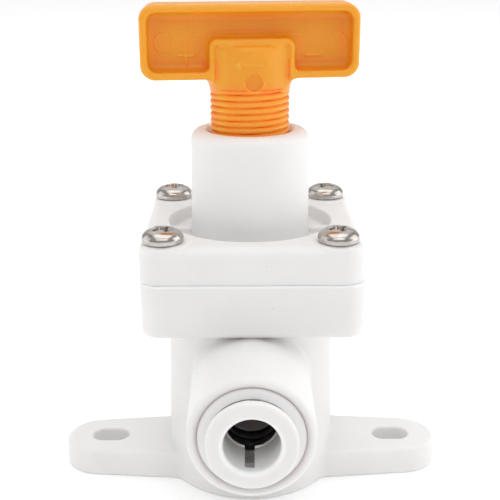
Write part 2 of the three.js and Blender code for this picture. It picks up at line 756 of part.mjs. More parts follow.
function springSeat() {
  const bossRadius = springInnerRadius - SLIDE_GAP;
  const capRadius = stemBoreRadius - SLIDE_GAP;
  return turned(
    [
      [0, capBottom - CAP_BOSS_HEIGHT],
      [bossRadius, capBottom - CAP_BOSS_HEIGHT],
      [bossRadius, capBottom],
      [capRadius, capBottom],
      [capRadius, capTop],
      [CAP_NUB_RADIUS, capTop],
      [CAP_NUB_RADIUS / 2, capTop + CAP_NUB_HEIGHT],
      [0, capTop + CAP_NUB_HEIGHT],
    ],
    SMALL_ROUND,
  );
}

// ---------------------------------------------------------------- handle

// A flat outline in XZ given thickness along Y, to both sides of centreY.
function standing(outline, thickness, centreY) {
  const extruded = new THREE.ExtrudeGeometry(outline, {
    depth: thickness,
    bevelEnabled: false,
    curveSegments: 6,
  });
  extruded.translate(0, 0, -thickness / 2).rotateX(Math.PI / 2);
  return solid(extruded.translate(0, centreY, 0));
}

// Outline of the wing, with a fillet on each side down to the stem.
function wingOutline() {
  const half = WING_LENGTH / 2;
  const top = wingBottom + WING_HEIGHT;
  const corner = WING_CORNER_RADIUS;
  const stemHalf = Math.sqrt(stemRadius ** 2 - (WING_THICKNESS / 2) ** 2);
  const fillet = WING_FILLET_RADIUS;
  const foot = wingBottom - fillet;
  const outline = new THREE.Shape();
  outline.moveTo(-stemHalf, foot);
  outline.lineTo(stemHalf, foot);
  outline.absarc(stemHalf + fillet, foot, fillet, Math.PI, Math.PI / 2, true);
  outline.absarc(half - corner, wingBottom + corner, corner, -Math.PI / 2, 0, false);
  outline.absarc(half - corner, top - corner, corner, 0, Math.PI / 2, false);
  outline.absarc(-half + corner, top - corner, corner, Math.PI / 2, Math.PI, false);
  outline.absarc(-half + corner, wingBottom + corner, corner, Math.PI, 1.5 * Math.PI, false);
  outline.absarc(-stemHalf - fillet, foot, fillet, Math.PI / 2, 0, true);
  return outline;
}

// The hollow in one face of the wing, which leaves a land round the boss.
function wingRecess(side) {
  const half = WING_LENGTH / 2 - WING_RIM;
  const bottom = wingBottom + WING_RIM;
  const top = wingBottom + WING_HEIGHT - WING_RIM;
  const hollow = standing(
    roundedRectangle(-half, bottom, half, top, WING_RECESS_CORNER_RADIUS),
    2 * WING_RECESS_DEPTH,
    (side * WING_THICKNESS) / 2,
  );
  const landHalf = BOSS_RADIUS + BOSS_LAND_WIDTH;
  const land = standing(
    roundedRectangle(-landHalf, wingBottom, landHalf, bossTop + BOSS_LAND_RISE,
      WING_RECESS_CORNER_RADIUS),
    3 * WING_RECESS_DEPTH,
    (side * WING_THICKNESS) / 2,
  );
  return hollow.subtract(land);
}

// The ridge of the thread, its root sunk in the stem.
function threadRidge() {
  const rootHalf = (THREAD_PITCH - THREAD_ROOT_WIDTH) / 2;
  const crestHalf = THREAD_CREST_WIDTH / 2;
  const bottom = stemBottom + STEM_PILOT_LENGTH + rootHalf;
  const height = threadTop - rootHalf - bottom;
  const turns = Math.floor((height / THREAD_PITCH) * THREAD_ROUND) / THREAD_ROUND;
  const ridge = new THREE.Shape();
  ridge.moveTo(-THREAD_DEPTH, -rootHalf);
  ridge.lineTo(THREAD_DEPTH, -crestHalf);
  ridge.lineTo(THREAD_DEPTH, crestHalf);
  ridge.lineTo(-THREAD_DEPTH, rootHalf);
  return alongHelix(new Helix(stemRadius, turns, (turn) => bottom + turn * THREAD_PITCH), ridge);
}

function adjustingHandle() {
  const wing = standing(wingOutline(), WING_THICKNESS, 0);
  const boss = turned(
    [
      [0, threadTop - THREAD_PITCH],
      [stemRadius, threadTop - THREAD_PITCH],
      [BOSS_RADIUS, threadTop],
      ...arcPoints(BOSS_RADIUS - BOSS_EDGE, bossTop - BOSS_EDGE, BOSS_EDGE, 0, 90),
      [0, bossTop],
    ],
    LARGE_ROUND,
  );
  const stem = turned(
    [
      [0, stemBottom],
      [stemRadius - STEM_END_CHAMFER, stemBottom],
      [stemRadius, stemBottom + STEM_END_CHAMFER],
      [stemRadius, threadTop],
      [0, threadTop],
    ],
    THREAD_ROUND,
  );
  const bore = rod(stemBoreRadius, stemBottom - OVERCUT, stemBoreTop, MEDIUM_ROUND);
  return wing.subtract(wingRecess(-1)).subtract(wingRecess(1))
    .add(boss).add(stem).add(threadRidge()).subtract(bore);
}

// ---------------------------------------------------------------- assembly

const valve = new THREE.Group();
valve.add(
  piece("valve_body", valveBody(), whitePlastic),
  piece("bonnet", bonnet(), whitePlastic),
  piece("diaphragm", diaphragm(), blackRubber),
  piece("pressure_plate", pressurePlate(), greyAcetal),
  piece("diaphragm_stud", diaphragmStud(), stainlessSteel),
  piece("valve_pad", valvePad(), blackRubber),
  piece("range_spring", rangeSpring(), springSteel),
  piece("spring_seat", springSeat(), greyAcetal),
);

for (const { name, x, y } of screwPlaces()) {
  const fastener = piece(name, screw(), stainlessSteel);
  fastener.position.set(x, y, screwSeat);
  valve.add(fastener);
}

for (const [end, side] of [["front", -1], ["rear", 1]]) {
  const cartridge = port(end);
  cartridge.position.set(0, side * PORT_FACE_DISTANCE, PORT_AXIS_HEIGHT);
  cartridge.rotation.x = (-side * Math.PI) / 2;
  valve.add(cartridge);
}

const handle = piece("adjusting_handle", adjustingHandle(), orangePlastic);
handle.rotation.z = THREE.MathUtils.degToRad(HANDLE_TURN);
valve.add(handle);

export default valve;
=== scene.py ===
# Looks of the inline diaphragm valve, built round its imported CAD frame.
# Each moulded piece is a distance field: plain solids joined and cut with real fillets. The field
# is meshed on a fine grid, every vertex is pulled onto the exact surface and takes its normal.
# Shape code works in millimetres, and a finished mesh is scaled to metres.
import json
import math

import bpy
import numpy as np
from mathutils import Matrix, Vector

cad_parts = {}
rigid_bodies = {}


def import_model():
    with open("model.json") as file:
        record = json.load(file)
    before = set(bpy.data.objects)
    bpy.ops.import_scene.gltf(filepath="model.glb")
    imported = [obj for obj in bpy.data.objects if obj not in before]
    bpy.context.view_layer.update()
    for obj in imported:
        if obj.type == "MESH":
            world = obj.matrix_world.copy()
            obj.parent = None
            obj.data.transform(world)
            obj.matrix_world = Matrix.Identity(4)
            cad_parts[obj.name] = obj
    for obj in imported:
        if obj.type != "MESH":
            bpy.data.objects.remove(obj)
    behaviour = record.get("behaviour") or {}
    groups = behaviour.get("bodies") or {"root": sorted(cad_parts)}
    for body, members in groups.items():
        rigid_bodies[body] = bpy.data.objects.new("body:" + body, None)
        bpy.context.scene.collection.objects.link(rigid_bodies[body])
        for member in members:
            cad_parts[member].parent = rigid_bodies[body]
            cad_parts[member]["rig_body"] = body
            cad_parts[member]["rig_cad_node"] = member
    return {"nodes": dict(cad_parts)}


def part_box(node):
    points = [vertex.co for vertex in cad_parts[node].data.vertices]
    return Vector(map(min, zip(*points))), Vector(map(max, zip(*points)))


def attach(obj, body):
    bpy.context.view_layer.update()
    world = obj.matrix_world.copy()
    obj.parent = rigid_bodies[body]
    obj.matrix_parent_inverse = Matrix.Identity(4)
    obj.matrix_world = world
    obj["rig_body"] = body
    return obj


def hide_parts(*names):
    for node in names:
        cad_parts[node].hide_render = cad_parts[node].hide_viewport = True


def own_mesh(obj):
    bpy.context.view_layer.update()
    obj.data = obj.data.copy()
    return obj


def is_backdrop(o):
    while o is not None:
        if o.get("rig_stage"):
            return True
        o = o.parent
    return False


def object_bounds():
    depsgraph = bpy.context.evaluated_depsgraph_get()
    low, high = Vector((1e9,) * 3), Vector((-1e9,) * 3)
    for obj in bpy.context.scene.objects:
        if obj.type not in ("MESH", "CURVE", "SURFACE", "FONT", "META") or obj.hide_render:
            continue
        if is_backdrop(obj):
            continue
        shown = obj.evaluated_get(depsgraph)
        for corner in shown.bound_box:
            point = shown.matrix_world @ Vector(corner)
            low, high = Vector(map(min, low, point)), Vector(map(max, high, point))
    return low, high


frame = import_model()
cad_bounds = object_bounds()

MM = 0.001


def box_mm(node):
    """Lowest and highest corner of a CAD node, in millimetres."""
    low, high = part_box(node)
    return np.array(low) / MM, np.array(high) / MM


# ---------------------------------------------------------------- sizes from the frame

_, body_high = box_mm("valve_body")
bonnet_low, bonnet_high = box_mm("bonnet")
handle_low, handle_high = box_mm("adjusting_handle")
collet_low, collet_high = box_mm("rear_collet")
ring_low, ring_high = box_mm("rear_retaining_ring")
screw_low, screw_high = box_mm("screw_rear_right")
diaphragm_low, diaphragm_high = box_mm("diaphragm")
outer_seal_low, outer_seal_high = box_mm("rear_outer_o_ring")
inner_seal_low, _ = box_mm("rear_inner_o_ring")
spacer_low, spacer_high = box_mm("rear_seal_spacer")
tooth_low, tooth_high = box_mm("rear_collet_tooth_1")
pad_low, _ = box_mm("valve_pad")
_, cap_high = box_mm("spring_seat")

PORT_HEIGHT = (collet_low[2] + collet_high[2]) / 2
PORT_FACE = body_high[1]
PARTING = body_high[2]
TOWER_TOP = bonnet_high[2]
BONNET_HALF_WIDTH = bonnet_high[0]
SCREW_OFFSET = (screw_low[0] + screw_high[0]) / 2
SCREW_HEAD_RADIUS = (screw_high[0] - screw_low[0]) / 2
RING_RADIUS = (ring_high[0] - ring_low[0]) / 2
COLLET_FLANGE_RADIUS = (collet_high[0] - collet_low[0]) / 2
DIAPHRAGM_RADIUS = diaphragm_high[0]

# ---------------------------------------------------------------- other sizes, in millimetres

TOUCH_GAP = 0.02
FIT_GAP = 0.05
OVERRUN = 1  # how far a solid runs on inside the one it joins

FOOT_THICKNESS = 4.6
FOOT_EDGE = 0.7
FOOT_TIP_RADIUS = 5.95
FOOT_CENTRE_HALF_WIDTH = 8.6
SLOT_TIP_DISTANCE = 7.55
SLOT_LENGTH = 6.15
SLOT_WIDTH = 4.2

BARREL_RADIUS = 9.45
BARREL_EDGE = 0.9
NECK_TOP_RADIUS = 13.36
NECK_FOOT_RADIUS = 14.01
BODY_FLANGE_THICKNESS = 8.75
BODY_FLANGE_OVERHANG = 0.12
BODY_FLANGE_SHIFT = 0.3
BODY_FLANGE_DRAFT = 0.02
BODY_FLANGE_LOW_EDGE = 0.9
BODY_FLANGE_TOP_EDGE = 0.45
BONNET_SHIFT = 0.17
FLANGE_CORNER_RADIUS = 3
CHAMBER_RADIUS = 10.2
CHAMBER_DEPTH = 5.1
NOZZLE_RADIUS = 3.9
PILOT_RADIUS = 1.3
WATERWAY_RADIUS = 2.5
RISER_RADIUS = 2.2

SOCKET_RADIUS = 4.1
SLEEVE_RADIUS = 5.2
BARB_RADIUS = 6.0
RING_THROAT_RADIUS = 5.45
RING_ROOM_RADIUS = 6.4
RING_FACE_SLOPE = 0.16
RING_RECESS_DEPTH = 1.3
PORT_CHAMFER = 0.55
COLLET_HUB_RADIUS = 6.2
COLLET_FLANGE_THICKNESS = 1.35
COLLET_FLANGE_EDGE = 0.6
COLLET_LEAD_IN = 0.75
COLLET_SLOT_HALF_WIDTH = 0.7
COLLET_TURN = math.radians(4)
TUBE_STOP_DEPTH = 14.4
SEAL_SECTION_RADIUS = 0.8

BONNET_FLANGE_THICKNESS = 5.6
BONNET_FLANGE_EDGE = 1.5
TOWER_RADIUS = 9.48
TOWER_DRAFT = 0.006
TOWER_EDGE = 1.5
GROOVE_RADIUS = 13.1
GROOVE_DEPTH = 2.4
BONNET_BORE_RADIUS = 6.35
SPRING_ROOM_HEIGHT = 1
SCREW_PAD_RADIUS = 4.2
SCREW_PAD_HEIGHT = 0.15
SCREW_HEAD_HEIGHT = 2.12
SCREW_HOLE_RADIUS = 1.6

HANDLE_TURN = math.radians(6)
WING_LENGTH = 34
WING_HEIGHT = 10.95
WING_THICKNESS = 8
WING_SHIFT = 0.2
WING_CROWN = 0.2
RIM_WIDTH = 1.15
RECESS_FLOOR = 1
BOSS_RADIUS = 6
BOSS_HEIGHT = 5.05
LAND_HALF_WIDTH = 6.55
THREAD_RADIUS = 6.2
THREAD_PITCH = 1
THREAD_RUN_OUT = 1.9
STEM_BORE_RADIUS = 4.65

PLUS = (-9.92, 70.25)
MINUS = (9.77, 70.1)
MARK_HALF_LENGTH = 1.38
MARK_HALF_WIDTH = 0.2

DIAPHRAGM_RIM = 1.26
VALVE_LIFT = 0.85

# Heights and depths that follow from them
flange_bottom = PARTING - BODY_FLANGE_THICKNESS
flange_top = PARTING + BONNET_FLANGE_THICKNESS
screw_seat = flange_top + SCREW_PAD_HEIGHT + TOUCH_GAP
wing_bottom = handle_high[2] - WING_HEIGHT
ring_length = PORT_FACE - ring_low[1] + FIT_GAP
seal_bore_radius = outer_seal_high[0] + FIT_GAP
seal_bore_depth = PORT_FACE - inner_seal_low[1] + FIT_GAP
rim_seat = diaphragm_high[2] - DIAPHRAGM_RIM - TOUCH_GAP
chamber_floor = rim_seat - CHAMBER_DEPTH
nozzle_top = pad_low[2] - TOUCH_GAP
riser_offset = (NOZZLE_RADIUS + CHAMBER_RADIUS) / 2
boss_top = wing_bottom + BOSS_HEIGHT
thread_top = wing_bottom - THREAD_RUN_OUT

# ---------------------------------------------------------------- distance fields
# A field takes x, y, z in millimetres and gives the distance to a surface, below 0 inside it.


def norm(*parts):
    return np.sqrt(sum(part * part for part in parts))


def common(a, b, edge=0.0):
    """What is inside both, with the outer edge between them rounded."""
    past_a, past_b = a + edge, b + edge
    flat = np.minimum(np.maximum(past_a, past_b), 0)
    return flat + norm(np.maximum(past_a, 0), np.maximum(past_b, 0)) - edge


def cut(a, b, edge=0.0):
    """a without b, with the edge of the cut rounded."""
    return common(a, -b, edge)


def join(a, b, fillet=0.0):
    """a and b, with a round fillet between them."""
    near_a, near_b = np.maximum(fillet - a, 0), np.maximum(fillet - b, 0)
    return np.maximum(fillet, np.minimum(a, b)) - norm(near_a, near_b)


def slab(along, low, high):
    return np.maximum(low - along, along - high)


def rectangle(u, v, half_u, half_v, corner):
    return common(np.abs(u) - half_u, np.abs(v) - half_v, corner)


def obround(u, v, length, width):
    return norm(np.maximum(np.abs(u) - (length - width) / 2, 0), v) - width / 2


def tapered(u, v, centre_radius, tip_radius, reach):
    """A plan that tapers both ways along u, from one radius to another."""
    along, across = np.abs(u), np.abs(v)
    lean = (centre_radius - tip_radius) / reach
    rise = math.sqrt(1 - lean * lean)
    side = rise * along - lean * across
    flank = rise * across + lean * along - centre_radius
    tip = norm(across, along - reach) - tip_radius
    return np.where(side < 0, norm(u, v) - centre_radius,
                    np.where(side > rise * reach, tip, flank))


BLOCK = 6  # grid cells along each side of a block
REACH = 1.15  # how far from its middle, in block sides, a block is searched


def grid_points(low, counts, step, shift):
    axes = [low[i] + (np.arange(counts[i]) + shift) * step for i in range(3)]
    return np.meshgrid(*axes, indexing="ij")


def skin(field, low, high, cell):
    """Meshes the zero surface of a field inside a box: vertices, four-sided faces and normals."""
    low = np.array(low, float) - 1.37 * cell
    blocks = np.ceil((np.array(high) + 1.5 * cell - low) / cell / BLOCK).astype(int)
    coarse = field(*grid_points(low, blocks, BLOCK * cell, 0.5))
    near = np.abs(coarse) < REACH * BLOCK * cell
    whole = np.ones((BLOCK,) * 3, bool)
    searched = np.kron(near, whole)
    counts = np.array(searched.shape)
    wanted = np.zeros(counts + 1, bool)
    corners = [(i, j, k) for i in (0, 1) for j in (0, 1) for k in (0, 1)]
    spans = [tuple(slice(o, o + n) for o, n in zip(corner, counts)) for corner in corners]
    for span in spans:
        wanted[span] |= searched
    values = np.ones(counts + 1)
    places = np.argwhere(wanted)
    values[wanted] = field(*(low + places * cell).T)
    inside = values < 0
    filled = sum(inside[span].astype(np.int8) for span in spans)
    mixed = (filled > 0) & (filled < 8) & searched
    cells = np.argwhere(mixed)
    index = np.full(mixed.shape, -1, np.int64)
    index[mixed] = np.arange(len(cells))

    total = np.zeros((len(cells), 3))
    crossings = np.zeros(len(cells))
    for axis in range(3):
        step = np.eye(3, dtype=int)[axis]
        for corner in corners:
            if corner[axis]:
                continue
            start = cells + corner
            first, last = values[tuple(start.T)], values[tuple((start + step).T)]
            crosses = (first < 0) != (last < 0)
            share = np.where(crosses, first / np.where(crosses, first - last, 1), 0)
            total += crosses[:, None] * (corner + share[:, None] * step)
            crossings += crosses
    points = low + (cells + total / crossings[:, None]) * cell

    faces = []
    for axis in range(3):
        step, side, other = np.roll(np.eye(3, dtype=int), -axis, axis=0)
        starts = tuple(slice(0, n) for n in counts + 1 - step)
        ends = tuple(slice(s, None) for s in step)
        first, last = inside[starts], inside[ends]
        edges = np.argwhere(first != last)
        edges = edges[(edges[:, (axis + 1) % 3] > 0) & (edges[:, (axis + 2) % 3] > 0)]
        edges = edges[np.all(edges < counts, axis=1)]
        ring = [edges, edges - side, edges - side - other, edges - other]
        quads = np.stack([index[tuple(part.T)] for part in ring], axis=1)
        outward = first[tuple(edges.T)]
        faces.append(np.where(outward[:, None], quads, quads[:, ::-1]))
    faces = np.concatenate(faces)
    faces = faces[np.all(faces >= 0, axis=1)]

    for _ in range(4):
        value, slope = field(*points.T), gradient(field, points)
        steepness = np.maximum(np.sum(slope * slope, axis=1), 0.05)
        move = -(value / steepness)[:, None] * slope
        far = np.maximum(np.linalg.norm(move, axis=1) / (0.5 * cell), 1)
        points = points + move / far[:, None]
    slope = gradient(field, points)
    normals = slope / np.maximum(np.linalg.norm(slope, axis=1), 1e-9)[:, None]
    return points, faces, normals


def gradient(field, points):
    reach = 0.01
    x, y, z = points.T
    return np.stack([
        field(x + reach, y, z) - field(x - reach, y, z),
        field(x, y + reach, z) - field(x, y - reach, z),
        field(x, y, z + reach) - field(x, y, z - reach),
    ], axis=1) / (2 * reach)


def cavity(field, points, normals, reach):
    """How shut in each point is, from 0 in the open to 1 in a deep corner."""
    shut = np.zeros(len(points))
    for share in (0.25, 0.5, 0.75, 1.0):
        away = share * reach
        room = field(*(points + away * normals).T)
        shut += np.clip(away - room, 0, away) / away
    return np.clip(shut / 4, 0, 1)


def moulded(name, field, low, high, cell, material, painted_shading=None):
    """A smooth-shaded object of a field, at its place in the row frame."""
    points, faces, normals = skin(field, low, high, cell)
    mesh = bpy.data.meshes.new(name)
    mesh.vertices.add(len(points))
    mesh.vertices.foreach_set("co", (points * MM).astype(np.float32).ravel())
    mesh.loops.add(4 * len(faces))
    mesh.loops.foreach_set("vertex_index", faces.astype(np.int32).ravel())
    mesh.polygons.add(len(faces))
    mesh.polygons.foreach_set("loop_start", np.arange(0, 4 * len(faces), 4, dtype=np.int32))
    mesh.update(calc_edges=True)
    mesh.shade_smooth()
    mesh.normals_split_custom_set_from_vertices(normals)
    shut = mesh.attributes.new("cavity", "FLOAT", "POINT")
    shut.data.foreach_set("value", cavity(field, points, normals, 2.2).astype(np.float32))
    # The value stored next holds the light and shade that the material paints into the colour.
    if painted_shading:
        raised = mesh.attributes.new("painted_shading", "FLOAT", "POINT")
        raised.data.foreach_set("value", painted_shading(*points.T).astype(np.float32))
    mesh.materials.append(material)
    piece = bpy.data.objects.new(name, mesh)
    bpy.context.scene.collection.objects.link(piece)
    return piece

# ---------------------------------------------------------------- shapes of the pieces


def cylinder(across, along, radius, low, high, low_edge=0.0):
    """A round solid, given the distance from its axis and the place along it."""
    return common(common(across - radius, along - high), low - along, low_edge)


def body_flange(x, y, z):
    half_width = BONNET_HALF_WIDTH + BODY_FLANGE_OVERHANG
    plan = rectangle(x - BODY_FLANGE_SHIFT, y, half_width, half_width, FLANGE_CORNER_RADIUS)
    plan = plan + BODY_FLANGE_DRAFT * (PARTING - z)
    flange = common(plan, z - PARTING, BODY_FLANGE_TOP_EDGE)
    return common(flange, flange_bottom - z, BODY_FLANGE_LOW_EDGE)


def valve_body(x, y, z):
    radial = norm(x, y)
    draft = (NECK_FOOT_RADIUS - NECK_TOP_RADIUS) / flange_bottom
    underside = -3 * OVERRUN  # cut flat at 0 once the fillets are made
    neck = cylinder(radial + draft * z, z, NECK_FOOT_RADIUS, underside,
                    flange_bottom + 2 * OVERRUN)
    plan = tapered(x, y, FOOT_CENTRE_HALF_WIDTH, FOOT_TIP_RADIUS,
                   body_high[0] - FOOT_TIP_RADIUS)
    slot_centre = body_high[0] - SLOT_TIP_DISTANCE
    foot = common(common(plan, z - FOOT_THICKNESS, FOOT_EDGE), underside - z)
    slot = obround(np.abs(x) - slot_centre, y, SLOT_LENGTH, SLOT_WIDTH)
    port_radial = norm(x, z - PORT_HEIGHT)
    barrel = common(port_radial - BARREL_RADIUS, np.abs(y) - PORT_FACE, BARREL_EDGE)
    solid = join(join(neck, foot, 0.8), barrel, 0.5)
    solid = cut(join(solid, body_flange(x, y, z), 0.4), slot, 0.3)
    solid = common(solid, -z, 0.3)

    depth = PORT_FACE - np.abs(y)
    countersink = port_radial - RING_RADIUS - FIT_GAP - PORT_CHAMFER + depth
    solid = cut(solid, countersink / math.sqrt(2), 0.25)
    solid = cut(solid, common(port_radial - RING_RADIUS + FIT_GAP, depth - ring_length))
    bores = common(port_radial - seal_bore_radius, depth - seal_bore_depth)
    bores = np.minimum(bores, common(port_radial - SOCKET_RADIUS, depth - TUBE_STOP_DEPTH))
    inlet = common(port_radial - WATERWAY_RADIUS, y)
    outlet = common(port_radial - RISER_RADIUS, riser_offset - y)
    rise = common(radial - WATERWAY_RADIUS, slab(z, PORT_HEIGHT, nozzle_top + OVERRUN))
    riser = common(norm(x, y - riser_offset) - RISER_RADIUS,
                   slab(z, PORT_HEIGHT, chamber_floor + OVERRUN))
    waterways = np.minimum(np.minimum(inlet, outlet), np.minimum(rise, riser))
    nozzle = common(radial - NOZZLE_RADIUS, z - nozzle_top, 0.3)
    chamber = cut(common(radial - CHAMBER_RADIUS, chamber_floor - z, 0.6), nozzle, 0.4)
    recess = common(radial - DIAPHRAGM_RADIUS - 0.2, rim_seat - z, 0.2)
    from_screw = norm(np.abs(x) - SCREW_OFFSET, np.abs(y) - SCREW_OFFSET)
    pilots = common(from_screw - PILOT_RADIUS, screw_low[2] - 0.1 - z, 0.2)
    hollow = np.minimum(np.minimum(chamber, recess), np.minimum(pilots, waterways))
    return cut(solid, np.minimum(bores, hollow), 0.12)


def bonnet(x, y, z):
    radial = norm(x, y)
    from_screw = norm(np.abs(x) - SCREW_OFFSET, np.abs(y) - SCREW_OFFSET)
    pads = common(from_screw - SCREW_PAD_RADIUS, z - flange_top - SCREW_PAD_HEIGHT, 0.2)
    plan = rectangle(x - BONNET_SHIFT, y, BONNET_HALF_WIDTH, BONNET_HALF_WIDTH,
                     FLANGE_CORNER_RADIUS)
    flange = common(plan, join(z - flange_top, pads, 0.25), BONNET_FLANGE_EDGE)
    flange = common(flange, PARTING - 0.15 - z)
    groove = common(radial - GROOVE_RADIUS, flange_top - GROOVE_DEPTH - z, 0.5)
    flange = cut(flange, groove, 0.35)
    ribs = common(common(np.abs(y) - 0.75, z - flange_top + 1.4, 0.25),
                  common(radial - GROOVE_RADIUS - 0.5, PARTING + 2 - z))
    tower = common(radial - TOWER_RADIUS + TOWER_DRAFT * (z - flange_top), z - TOWER_TOP,
                   TOWER_EDGE)
    tower = common(tower, PARTING + OVERRUN - z)
    spigot = cylinder(radial, z, DIAPHRAGM_RADIUS, bonnet_low[2], PARTING + OVERRUN, 0.15)
    solid = join(join(flange, ribs, 0.3), tower, 0.45)
    solid = np.minimum(solid, spigot)
    countersink = np.maximum(z - TOWER_TOP + 0.7, 0)
    bore = radial - BONNET_BORE_RADIUS - countersink
    room = common(radial - CHAMBER_RADIUS, z - PARTING - SPRING_ROOM_HEIGHT, 0.4)
    holes = from_screw - SCREW_HOLE_RADIUS
    return cut(cut(solid, np.minimum(bore, holes), 0.2), room, 0.1)


def thread(radial, angle, height, crest, depth, pitch):
    """Radial distance to a right-hand thread with round crests and sharp roots."""
    phase = height / pitch - angle / (2 * math.pi)
    off_crest = 2 * np.abs(phase - np.floor(phase) - 0.5)
    return radial - crest + depth * (1 - np.sqrt(1 - 0.985 * off_crest * off_crest))


def relief(flat, height, slope=0.3):
    """A low raised mark with sloping sides, from the flat distance to its outline."""
    share = np.clip(0.5 - flat / slope, 0, 1)
    return height * share * share * (3 - 2 * share)


def recess_marks(x, z):
    """Height of what stands up from the floor of a recess of the handle."""
    plus_x, plus_z = x - PLUS[0], z - PLUS[1]
    plus = np.minimum(
        rectangle(plus_x, plus_z, MARK_HALF_LENGTH, MARK_HALF_WIDTH, 0.1),
        rectangle(plus_x, plus_z, MARK_HALF_WIDTH, MARK_HALF_LENGTH, 0.1),
    )
    minus = rectangle(x - MINUS[0], z - MINUS[1], MARK_HALF_LENGTH, MARK_HALF_WIDTH, 0.1)
    panel = np.abs(rectangle(x, z - 74.78, 8.95, 1.42, 0.15)) - 0.07
    pins = np.abs(norm(np.abs(x) - 13.3, z - 72.2) - 1.45) - 0.08
    return (relief(np.minimum(plus, minus), 0.15) + relief(panel, 0.08)
            + relief(pins, 0.11))


def boss_marks(x, z):
    """Height of what stands up from the front of the handle's boss: an arrow towards the
    plus mark, and half a ring round the dimple that a mould pin has left."""
    shaft = rectangle(x + 0.2, z - 69.2, 2.4, 0.1, 0.05)
    head = 0.85 * np.maximum(np.abs(z - 69.2) - 0.62 * (x + 3.1), x + 1.9)
    from_pin = norm(x, z - 66.62)
    crescent = np.maximum(np.abs(from_pin - 1.5) - 0.12, z - 66.5)
    return (relief(np.minimum(shaft, head), 0.16) + relief(crescent, 0.2)
            - relief(from_pin - 1.3, 0.14))


def handle(x, y, z):
    cos, sin = math.cos(HANDLE_TURN), math.sin(HANDLE_TURN)
    x, y = cos * x + sin * y, cos * y - sin * x
    radial = norm(x, y)
    shown_x = x * -np.sign(y)
    off_centre = shown_x + WING_SHIFT
    middle = wing_bottom + (WING_HEIGHT + WING_CROWN) / 2
    half_length, half_height = WING_LENGTH / 2 - WING_SHIFT, (WING_HEIGHT + WING_CROWN) / 2
    face = WING_THICKNESS / 2
    plan = rectangle(x + WING_SHIFT * -np.sign(y) * np.minimum(np.abs(y), 1), z - middle,
                     half_length, half_height, 2.3)
    wing = common(plan, np.abs(y) - face, 0.6)
    shank = common(radial - BOSS_RADIUS, slab(z, thread_top - 0.4, wing_bottom + 2), 0.15)
    solid = join(wing, shank, 2.2)

    recess = rectangle(off_centre, z - middle, half_length - RIM_WIDTH, half_height - RIM_WIDTH,
                       1.5)
    land = rectangle(x, z - boss_top + 6, LAND_HALF_WIDTH, 6 + 1, 1.3)
    recess = cut(recess, land, 0.9)
    hollow = common(recess, RECESS_FLOOR + recess_marks(shown_x, z) - np.abs(y), 1.3)
    solid = cut(solid, hollow, 0.55)
    pocket = common(land + 0.9, 3.65 - np.abs(y), 0.3)
    solid = cut(solid, pocket, 0.45)
    boss = common(radial - BOSS_RADIUS - boss_marks(shown_x, z), z - boss_top, 0.9)
    solid = join(solid, common(boss, thread_top - z), 1)

    angle = np.arctan2(y, x)
    ridges = 0.75 * thread(radial, angle, z, THREAD_RADIUS + 0.07, 0.6, THREAD_PITCH)
    ridges = common(ridges, slab(z, handle_low[2] + 6, thread_top + 0.4), 0.25)
    stem = cylinder(radial, z, THREAD_RADIUS - 0.6, handle_low[2], thread_top + OVERRUN, 0.4)
    solid = np.minimum(solid, np.minimum(stem, ridges))
    bore = common(radial - STEM_BORE_RADIUS, z - cap_high[2] - FIT_GAP)
    return cut(solid, bore, 0.15)


def handle_tone(x, y, z):
    """How much light is painted into the handle's colour at a point: a painted highlight on its
    raised signs, its thin rim and its thread, and painted shade in the pin's dimple.
    """
    cos, sin = math.cos(HANDLE_TURN), math.sin(HANDLE_TURN)
    x, y = cos * x + sin * y, cos * y - sin * x
    shown_x = x * -np.sign(y)
    in_recess = np.clip((3 - np.abs(y)) / 1.5, 0, 1)
    on_boss = np.clip((np.abs(y) - 4.2) / 0.5, 0, 1)
    marked = recess_marks(shown_x, z) * in_recess + boss_marks(shown_x, z) * on_boss
    rim = np.clip((np.abs(y) - 2.6) / 1.2, 0, 1) * (1 - on_boss)
    on_thread = np.clip(wing_bottom - 1.5 - z, 0, 1)
    # Above 0 painted highlight, below 0 painted shade.
    return np.clip(6 * marked, -1, 1) + 0.5 * rim + 0.6 * on_thread


def countersink_shade(across, out):
    """How much painted shade lies in the countersink round a retaining ring."""
    from_ring = np.maximum(across - RING_RADIUS, 0)
    return np.clip(1.1 - from_ring / PORT_CHAMFER, 0, 1) * np.clip((0.1 - out) / 0.2, 0, 1)


def body_tone(x, y, z):
    """Above 0 where painted shade darkens the countersinks round the ports, below 0 where a
    painted highlight runs along the body's top edge.
    """
    shaded = countersink_shade(norm(x, z - PORT_HEIGHT), np.abs(y) - PORT_FACE)
    outside = np.maximum(np.abs(x), np.abs(y)) > BONNET_HALF_WIDTH - 1
    highlighted = outside * np.clip(2 - np.abs(z - PARTING + 0.24) / 0.12, 0, 1)
    return shaded - highlighted


def ring_tone(x, y, z):
    """Painted light on the flat of the retaining ring's face, and painted shade in the countersink
    round it.
    """
    across, out = norm(x, z - PORT_HEIGHT), np.abs(y) - PORT_FACE
    # Painted light: the flat of the ring's face is painted lighter.
    face = np.clip((out + 0.4) / 0.15, 0, 1) * np.clip((RING_RADIUS - across) / 0.2, 0, 1)
    return 0.6 * countersink_shade(across, out) - face


def collet_tone(x, y, z):
    """Painted light: a collet is painted lighter inside its mouth."""
    across, out = norm(x, z - PORT_HEIGHT), np.abs(y) - PORT_FACE
    return -np.clip((out + 3) / 2.5, 0, 1) * np.clip((SOCKET_RADIUS + 0.7 - across) / 0.4, 0, 1)


def port_frame(field, side):
    """A field in port coordinates, as one in the row frame: across the port's axis, outwards
    from the barrel's face, and x and height from the axis."""
    def placed(x, y, z):
        height = z - PORT_HEIGHT
        return field(norm(x, height), side * y - PORT_FACE, x, height)
    return placed


def turned(x, height, angle):
    cos, sin = math.cos(angle), math.sin(angle)
    return cos * x - sin * height, cos * height + sin * x


